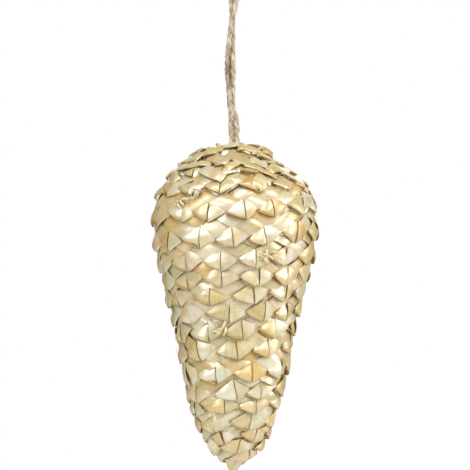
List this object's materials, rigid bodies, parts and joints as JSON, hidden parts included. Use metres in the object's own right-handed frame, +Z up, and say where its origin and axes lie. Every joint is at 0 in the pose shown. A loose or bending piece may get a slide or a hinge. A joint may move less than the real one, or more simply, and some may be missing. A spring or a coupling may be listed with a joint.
{
  "type": "hanging cone ornament",
  "caption": "Fir-cone-shaped ornament of folded straw plait wound in a spiral, wide end up, hung on a doubled loop of jute twine.",
  "frame": {"origin": "inside the top of the twine loop, at the underside of the twine where the loop bears on a hook or nail", "axes": "+Z up along the hanging direction, from the cone's tip towards the loop; +X to the right and -Y towards the viewer of the pictured side"},
  "size_m": [0.08, 0.0802, 0.2423],
  "materials": {
    "folded_straw": "glossy natural straw, satin to pearly, in cream, gold and tan strips",
    "jute_twine": "matte hairy two-ply twine, pale brown"
  },
  "bodies": {
    "root": {"straw_cone": "folded_straw", "hanging_cord": "jute_twine"}
  },
  "joints": []
}
